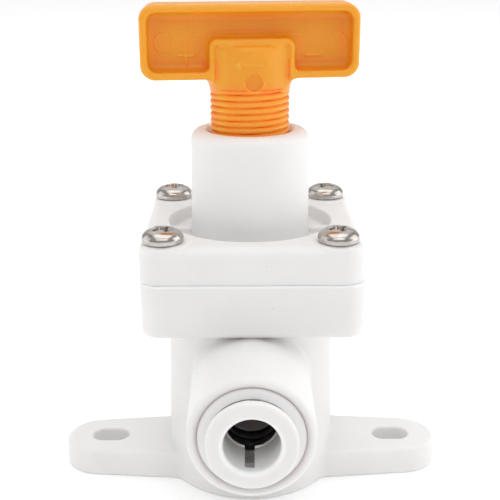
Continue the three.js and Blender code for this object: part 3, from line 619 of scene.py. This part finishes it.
def collet(across, out, x, height):
    front = collet_high[1] - PORT_FACE
    back = front - COLLET_FLANGE_THICKNESS
    tip = collet_low[1] - PORT_FACE
    flange = common(common(across - COLLET_FLANGE_RADIUS, out - front, COLLET_FLANGE_EDGE),
                    back - out, 0.3)
    flange = join(flange, common(across - COLLET_HUB_RADIUS, slab(out, -0.15, back + 0.5)), 0.2)
    barb = across - BARB_RADIUS + np.maximum(out - tip - 0.45, 0) * 0.62
    outside = np.maximum(np.minimum(across - SLEEVE_RADIUS, 10), slab(out, tip, front - 0.5))
    outside = np.minimum(outside, common(0.85 * barb, slab(out, tip, back - 1), 0.1))
    solid = join(flange, outside, 0.15)
    edge = np.where(out > 0, COLLET_LEAD_IN, 0.1)
    solid = cut(solid, across - SOCKET_RADIUS, edge)
    along, beside = turned(x, height, COLLET_TURN)
    slots = np.minimum(np.abs(along), np.abs(beside)) - COLLET_SLOT_HALF_WIDTH
    return cut(solid, common(slots, out - back + 0.45), 0.08)


def retaining_ring(across, out, x, height):
    slope = RING_FACE_SLOPE * np.maximum(across - COLLET_HUB_RADIUS, 0)
    outside = common(across - RING_RADIUS - FIT_GAP, 0.98 * (out + slope), 0.15)
    outside = common(outside, ring_low[1] - PORT_FACE - out, 0.1)
    cone = np.clip((-out - 3.2) * 0.56, 0, RING_ROOM_RADIUS - RING_THROAT_RADIUS)
    throat = across - RING_THROAT_RADIUS - cone
    mouth = common(across - COLLET_HUB_RADIUS - 0.06, -RING_RECESS_DEPTH - out)
    return cut(outside, np.minimum(0.88 * throat, mouth), 0.04)


def ring_seal(middle):
    """A rubber ring at a depth in the port."""
    centre = outer_seal_high[0] - SEAL_SECTION_RADIUS
    def field(across, out, x, height):
        return norm(across - centre, out - middle) - SEAL_SECTION_RADIUS
    return field


def spacer(across, out, x, height):
    ends = slab(out, spacer_low[1] - PORT_FACE, spacer_high[1] - PORT_FACE)
    return cut(common(across - spacer_high[0], ends, 0.1), across - SOCKET_RADIUS, 0.1)


def tooth(sign_x, sign_height):
    front, back = tooth_high[1] - PORT_FACE, tooth_low[1] - PORT_FACE
    def field(across, out, x, height):
        lean = 0.25 * np.clip((4.3 - across) / 0.4, 0, 1)
        washer = slab(out + lean, back + 0.25, front)
        washer = common(washer, slab(across, 3.88, 5.75), 0.05)
        along, beside = turned(x, height, COLLET_TURN)
        apart = COLLET_SLOT_HALF_WIDTH - np.minimum(sign_x * along, sign_height * beside)
        return common(washer, apart, 0.1)
    return field


def screw_at(centre_x, centre_y, turn):
    """A pan-head screw whose cross recess is turned by an angle."""
    cos, sin = math.cos(turn), math.sin(turn)
    def field(x, y, z):
        x, y = x - centre_x, y - centre_y
        u, v = cos * x + sin * y, cos * y - sin * x
        radial, up = norm(u, v), z - screw_seat
        low_part = 0.55
        dome = np.maximum(up - low_part, 0) / (SCREW_HEAD_HEIGHT - low_part)
        size = (radial / SCREW_HEAD_RADIUS) ** 2.6 + dome ** 2.2
        pan = common((size ** (1 / 2.4) - 1) * 2.2, -up, 0.25)
        down = SCREW_HEAD_HEIGHT - up
        arms = np.minimum(np.abs(u), np.abs(v)) - 0.44 + 0.09 * down
        cone = 0.8 * (radial - 1.8 + 0.75 * down)
        point = 0.8 * (radial - 0.95 + 0.3 * down)
        cross = common(np.minimum(common(arms, cone, 0.08), point), down - 1.55, 0.1)
        pan = cut(pan, cross, 0.09)
        angle = np.arctan2(v, u)
        shank = 0.8 * thread(radial, angle, up, 1.25, 0.28, 0.9)
        taper = 0.7 * (radial - 0.35 - 0.85 * (z - screw_low[2]))
        shank = common(common(shank, taper), slab(z, screw_low[2], screw_seat + 0.5))
        return np.minimum(pan, shank)
    return field

# ---------------------------------------------------------------- finishes


class Finish:
    """A Principled material, with short names for the nodes that its patterns use."""

    def __init__(self, name, **constants):
        self.material = bpy.data.materials.new(name)
        self.material.use_nodes = True
        self.tree = self.material.node_tree
        self.surface = self.tree.nodes["Principled BSDF"]
        for socket, value in constants.items():
            self.surface.inputs[socket.replace("_", " ")].default_value = value
        self.place = self.tree.nodes.new("ShaderNodeTexCoord").outputs["Object"]

    def feed(self, socket, value):
        if isinstance(value, bpy.types.NodeSocket):
            self.tree.links.new(value, socket)
        else:
            socket.default_value = value

    def noise(self, size, detail=2.0, stretch=(1, 1, 1), roughness=0.5):
        """Noise from 0 to 1 whose features are about size millimetres wide."""
        scaled = self.tree.nodes.new("ShaderNodeVectorMath")
        scaled.operation = "MULTIPLY"
        self.feed(scaled.inputs[0], self.place)
        scaled.inputs[1].default_value = [s / (size * MM) for s in stretch]
        noise = self.tree.nodes.new("ShaderNodeTexNoise")
        noise.inputs["Scale"].default_value = 1
        noise.inputs["Detail"].default_value = detail
        noise.inputs["Roughness"].default_value = roughness
        self.feed(noise.inputs["Vector"], scaled.outputs[0])
        return noise.outputs["Fac"]

    def cells(self, size):
        """Distance, from 0 at its middle, to the nearest of spots about size millimetres apart."""
        spots = self.tree.nodes.new("ShaderNodeTexVoronoi")
        spots.inputs["Scale"].default_value = 1 / (size * MM)
        self.feed(spots.inputs["Vector"], self.place)
        return spots.outputs["Distance"]

    def value(self, name):
        """A number that the mesh holds for each of its points."""
        stored = self.tree.nodes.new("ShaderNodeAttribute")
        stored.attribute_name = name
        return stored.outputs["Fac"]

    def far_from_middle(self):
        away = self.tree.nodes.new("ShaderNodeVectorMath")
        away.operation = "LENGTH"
        self.feed(away.inputs[0], self.place)
        return away.outputs["Value"]

    def between(self, value, low, high, out_low=0.0, out_high=1.0):
        """value from low..high, as one from out_low..out_high, clamped."""
        mapped = self.tree.nodes.new("ShaderNodeMapRange")
        self.feed(mapped.inputs["Value"], value)
        for socket, number in (("From Min", low), ("From Max", high),
                               ("To Min", out_low), ("To Max", out_high)):
            mapped.inputs[socket].default_value = number
        return mapped.outputs["Result"]

    def mix(self, share, first, second):
        """A colour between two, by a share."""
        mixed = self.tree.nodes.new("ShaderNodeMix")
        mixed.data_type = "RGBA"
        self.feed(mixed.inputs["Factor"], share)
        for name, colour in (("A", first), ("B", second)):
            socket = next(s for s in mixed.inputs if s.name == name and s.type == "RGBA")
            if not isinstance(colour, bpy.types.NodeSocket):
                colour = (*colour, 1)
            self.feed(socket, colour)
        return next(s for s in mixed.outputs if s.type == "RGBA")

    def maths(self, operation, first, second):
        made = self.tree.nodes.new("ShaderNodeMath")
        made.operation = operation
        self.feed(made.inputs[0], first)
        self.feed(made.inputs[1], second)
        return made.outputs[0]

    def colour(self, value):
        self.feed(self.surface.inputs["Base Color"], value)

    def roughness(self, value):
        self.feed(self.surface.inputs["Roughness"], value)

    def bump(self, height, depth):
        """Relief, depth millimetres from height 0 to 1."""
        bump = self.tree.nodes.new("ShaderNodeBump")
        bump.inputs["Distance"].default_value = depth * MM
        self.feed(bump.inputs["Height"], height)
        self.feed(self.surface.inputs["Normal"], bump.outputs["Normal"])


def white_plastic():
    """Moulded white resin: satin, a little translucent, with cloudy flow lines and a few dark
    specks.
    Its colour holds painted shade, pinkish grey in corners and creases and darker in the
    countersinks where its mesh value is above 0, and a painted highlight, near white, where that
    value is below 0."""
    finish = Finish("white_plastic", Specular_IOR_Level=0.4, Subsurface_Weight=0.4,
                    Subsurface_Scale=1.2 * MM)
    finish.surface.inputs["Subsurface Radius"].default_value = (1.0, 0.9, 0.8)
    cloud = finish.between(finish.noise(9, 3), 0.3, 0.7)
    tone = finish.mix(cloud, (0.808, 0.80, 0.792), (0.836, 0.829, 0.823))
    # Painted shade: pinkish grey in corners and creases, by the cavity value.
    corner = finish.between(finish.value("cavity"), 0.35, 1, 0, 0.35)
    tone = finish.mix(corner, tone, (0.72, 0.64, 0.64))
    # Painted shade in the countersinks, where the mesh value is above 0.
    painted_groove_shade = finish.between(finish.value("painted_shading"), 0, 1, 0, 0.75)
    tone = finish.mix(painted_groove_shade, tone, (0.66, 0.56, 0.565))
    # Painted highlight, near white, where the mesh value is below 0.
    painted_light_share = finish.between(finish.value("painted_shading"), 0, -1, 0, 1)
    tone = finish.mix(painted_light_share, tone, (0.97, 0.965, 0.96))
    speck = finish.maths("MULTIPLY",
                         finish.between(finish.cells(3.1), 0.022, 0.035, 1, 0),
                         finish.between(finish.noise(5), 0.55, 0.6))
    finish.colour(finish.mix(finish.maths("MULTIPLY", speck, 0.6), tone, (0.25, 0.22, 0.2)))
    finish.roughness(finish.between(finish.noise(2.2, 4), 0.3, 0.7, 0.34, 0.44))
    grain = finish.maths("ADD", finish.noise(0.16, 3), finish.noise(3.5, 1))
    finish.bump(grain, 0.008)
    return finish.material


def orange_plastic():
    """Moulded orange resin, satin, with light painted into its colour: a painted highlight,
    yellower, at its thin edges and wherever its mesh value is above 0, and painted shade, redder,
    in its corners and where that value is below 0.
    """
    finish = Finish("orange_plastic", Specular_IOR_Level=0.36, Subsurface_Weight=0.3,
                    Subsurface_Scale=0.9 * MM)
    finish.surface.inputs["Subsurface Radius"].default_value = (1.0, 0.5, 0.15)
    cloud = finish.between(finish.noise(5, 3), 0.3, 0.7)
    tone = finish.mix(cloud, (0.805, 0.32, 0.015), (0.835, 0.345, 0.021))
    # Painted shade: redder in corners and recesses, by the cavity value.
    corner = finish.between(finish.value("cavity"), 0.05, 0.45)
    tone = finish.mix(corner, tone, (1.0, 0.22, 0.034))
    # Painted highlight, yellower, where the mesh value is above 0; painted shade, dark red, where
    # it is below 0.
    tone = finish.mix(finish.between(finish.value("painted_shading"), 0, 1, 0, 0.6), tone,
                      (0.86, 0.43, 0.03))
    finish.colour(finish.mix(finish.between(finish.value("painted_shading"), 0, -1, 0, 0.5), tone,
                             (0.76, 0.19, 0.008)))
    finish.roughness(finish.between(finish.noise(1.4, 4), 0.3, 0.7, 0.32, 0.42))
    grain = finish.maths("ADD", finish.noise(0.18, 3), finish.noise(2.6, 2))
    finish.bump(grain, 0.014)
    return finish.material


def stainless_steel():
    """Tumbled stainless steel, with fine scratches and duller patches."""
    finish = Finish("stainless_steel", Metallic=1.0)
    patch = finish.between(finish.noise(0.8, 4), 0.35, 0.65)
    finish.colour(finish.mix(patch, (0.44, 0.405, 0.375), (0.54, 0.505, 0.475)))
    finish.roughness(finish.between(finish.noise(0.5, 5), 0.3, 0.7, 0.16, 0.26))
    scratches = finish.noise(0.12, 3, (1, 0.15, 1))
    finish.bump(finish.maths("ADD", scratches, finish.noise(0.9, 2)), 0.004)
    return finish.material


def spring_steel():
    finish = Finish("spring_steel", Metallic=1.0)
    patch = finish.between(finish.noise(1.2, 4), 0.35, 0.65)
    finish.colour(finish.mix(patch, (0.36, 0.35, 0.34), (0.52, 0.51, 0.5)))
    finish.roughness(finish.between(finish.noise(0.6, 4), 0.3, 0.7, 0.24, 0.38))
    finish.bump(finish.noise(0.2, 3, (1, 1, 0.2)), 0.01)
    return finish.material


def black_rubber():
    """Black rubber with a dusting of grey from handling."""
    finish = Finish("black_rubber", Specular_IOR_Level=0.2)
    dust = finish.between(finish.noise(1.1, 4), 0.45, 0.8)
    finish.colour(finish.mix(dust, (0.012, 0.011, 0.011), (0.04, 0.037, 0.036)))
    finish.roughness(finish.between(finish.noise(0.6, 3), 0.3, 0.7, 0.42, 0.6))
    finish.bump(finish.noise(0.15, 3), 0.01)
    return finish.material


def grey_acetal():
    finish = Finish("grey_acetal", Specular_IOR_Level=0.5)
    cloud = finish.between(finish.noise(2.5, 3), 0.3, 0.7)
    finish.colour(finish.mix(cloud, (0.045, 0.038, 0.040), (0.07, 0.06, 0.062)))
    finish.roughness(finish.between(finish.noise(1, 3), 0.3, 0.7, 0.34, 0.46))
    finish.bump(finish.noise(0.2, 3), 0.008)
    return finish.material


MATERIALS = {
    "white_plastic": white_plastic(),
    "orange_plastic": orange_plastic(),
    "stainless_steel": stainless_steel(),
    "spring_steel": spring_steel(),
    "black_rubber": black_rubber(),
    "grey_acetal": grey_acetal(),
}

# ---------------------------------------------------------------- the pieces, on their bodies


def stand_in(node, body, slot, field, low, high, cell, painted_shading=None):
    """Makes a piece in place of one CAD node, riding on that node's body."""
    piece = moulded(node + "_skin", field, low, high, cell, MATERIALS[slot], painted_shading)
    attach(piece, body)
    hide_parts(node)
    return piece


def node_range(node, room=0.3):
    low, high = box_mm(node)
    return low - room, high + room


def build_housing():
    stand_in("valve_body", "housing", "white_plastic", valve_body, *node_range("valve_body"),
             0.36, body_tone)
    stand_in("bonnet", "housing", "white_plastic", bonnet, *node_range("bonnet"), 0.27)


def build_screws():
    turns = {"front_left": 0.62, "front_right": 0.42, "rear_left": 0.2, "rear_right": 1.1}
    for place, turn in turns.items():
        node = "screw_" + place
        low, high = box_mm(node)
        centre = (low + high) / 2
        field = screw_at(centre[0], centre[1], turn)
        stand_in(node, "housing", "stainless_steel", field, *node_range(node), 0.095)


def build_ports():
    for place, side in (("front", -1), ("rear", 1)):
        node = place + "_retaining_ring"
        stand_in(node, "housing", "white_plastic", port_frame(retaining_ring, side),
                 *node_range(node), 0.17, ring_tone)
        node = place + "_collet"
        stand_in(node, node, "white_plastic", port_frame(collet, side), *node_range(node), 0.15,
                 collet_tone)
        node = place + "_seal_spacer"
        stand_in(node, "housing", "grey_acetal", port_frame(spacer, side), *node_range(node),
                 0.15)
        for seal, rest in (("outer", outer_seal_low), ("inner", inner_seal_low)):
            node = f"{place}_{seal}_o_ring"
            field = port_frame(ring_seal(rest[1] + SEAL_SECTION_RADIUS - PORT_FACE), side)
            stand_in(node, "housing", "black_rubber", field, *node_range(node), 0.15)
        for number in range(1, 5):
            node = f"{place}_collet_tooth_{number}"
            low, high = box_mm(node)
            centre = (low + high) / 2
            field = tooth(np.sign(centre[0]), np.sign(centre[2] - PORT_HEIGHT))
            stand_in(node, place + "_collet", "stainless_steel", port_frame(field, side),
                     *node_range(node), 0.1)


def build_handle():
    stand_in("adjusting_handle", "handle", "orange_plastic", handle,
             *node_range("adjusting_handle"), 0.175, handle_tone)


def finish_cad_nodes():
    """The pieces inside keep their CAD shape, with the same finishes as the rest."""
    inside = {
        "pressure_plate": "stainless_steel",
        "diaphragm_stud": "stainless_steel",
        "valve_pad": "black_rubber",
        "spring_seat": "grey_acetal",
    }
    for node, slot in inside.items():
        shown = frame["nodes"][node]
        shown.data.materials.clear()
        shown.data.materials.append(MATERIALS[slot])


def soft_copy(node, slot):
    """A copy of a node that rides on the plunger, and may change its shape."""
    piece = frame["nodes"][node].copy()
    piece.data = piece.data.copy()
    piece.name = node + "_skin"
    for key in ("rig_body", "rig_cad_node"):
        if key in piece:
            del piece[key]
    piece.parent = None
    bpy.context.scene.collection.objects.link(piece)
    piece.data.materials.clear()
    piece.data.materials.append(MATERIALS[slot])
    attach(piece, "plunger")
    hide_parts(node)
    return piece


def build_soft_parts():
    """Copies of the diaphragm and the spring ride on the plunger. The spring is made a little
    short, so that the plunger can also lift it towards its seat."""
    low, high = box_mm("range_spring")
    length = high[2] - low[2]
    room = VALVE_LIFT / length
    spring = soft_copy("range_spring", "spring_steel")
    foot = Vector((0, 0, low[2] * MM))
    to_foot = Matrix.Translation(foot)
    shorten = to_foot @ Matrix.Diagonal((1, 1, 1 - room, 1)) @ to_foot.inverted()
    place = spring.matrix_world.copy()
    spring.data.transform(place.inverted() @ shorten @ place)
    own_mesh(spring)
    diaphragm = soft_copy("diaphragm", "black_rubber")
    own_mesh(diaphragm)


# ---------------------------------------------------------------- studio


def floor_and_backdrop():
    bpy.ops.mesh.primitive_plane_add(size=6, location=(0, 0, 0))
    floor = bpy.context.object
    floor.name = "studio_floor"
    paint = Finish("studio_paper", Roughness=0.9, Specular_IOR_Level=0.1)
    tone = paint.between(paint.noise(40, 2), 0.3, 0.7)
    paint.colour(paint.mix(tone, (0.93, 0.93, 0.93), (0.95, 0.95, 0.95)))
    # The floor glows with its own emission, 0.15 near the middle and 0.5 from 35 cm out, lighting
    # the object from below and keeping the backdrop white.
    paint.surface.inputs["Emission Color"].default_value = (1, 1, 1, 1)
    paint.feed(paint.surface.inputs["Emission Strength"],
               paint.between(paint.far_from_middle(), 0.05, 0.35, 0.15, 0.5))
    floor.data.materials.append(paint.material)
    floor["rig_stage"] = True


def softbox(name, place, aim, width, height, power):
    light = bpy.data.lights.new(name, "AREA")
    light.shape = "RECTANGLE"
    light.size, light.size_y = width, height
    light.energy = power
    lamp = bpy.data.objects.new(name, light)
    lamp.location = place
    lamp.visible_camera = False
    lamp.rotation_euler = (Vector(aim) - Vector(place)).to_track_quat("-Z", "Y").to_euler()
    bpy.context.scene.collection.objects.link(lamp)


def lights():
    world = bpy.data.worlds.new("studio_air")
    world.use_nodes = True
    world.node_tree.nodes["Background"].inputs["Color"].default_value = (1, 1, 1, 1)
    world.node_tree.nodes["Background"].inputs["Strength"].default_value = 0.47
    bpy.context.scene.world = world
    middle = (0, 0, 0.04)
    softbox("overhead", (0, 0, 0.62), middle, 0.6, 0.5, 1.35)
    softbox("top_back", (0, 0.45, 0.5), middle, 0.7, 0.35, 0.45)
    softbox("top_front", (0, -0.42, 0.5), middle, 0.6, 0.3, 0.78)
    softbox("left", (-0.55, 0.05, 0.2), middle, 0.5, 0.5, 0.66)
    softbox("right", (0.55, 0.05, 0.2), middle, 0.5, 0.5, 1.16)
    softbox("low_back", (0, 0.6, 0.12), middle, 0.9, 0.22, 0.32)


CAMERA_PLACE = (-0.842, -157.126, 88.822)
CAMERA_TARGET = (-0.03, 0, 38.275)
CAMERA_LENS = 72.07
CAMERA_ROLL = math.radians(-0.151)


def camera():
    lens = bpy.data.cameras.new("camera")
    lens.lens, lens.sensor_width = CAMERA_LENS, 36
    lens.clip_start, lens.clip_end = 0.005, 20
    eye = bpy.data.objects.new("camera", lens)
    place, target = Vector(CAMERA_PLACE) * MM, Vector(CAMERA_TARGET) * MM
    eye.location = place
    turn = (target - place).to_track_quat("-Z", "Y")
    eye.rotation_euler = (turn @ Matrix.Rotation(CAMERA_ROLL, 3, "Z").to_quaternion()).to_euler()
    bpy.context.scene.collection.objects.link(eye)
    bpy.context.scene.camera = eye


build_housing()
build_screws()
build_ports()
build_handle()
finish_cad_nodes()
build_soft_parts()
floor_and_backdrop()
lights()
camera()
bpy.context.scene.view_settings.view_transform = "Standard"

boxes = {"cad": cad_bounds, "visual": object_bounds()}
{name: [list(corner) for corner in pair] for name, pair in boxes.items()}
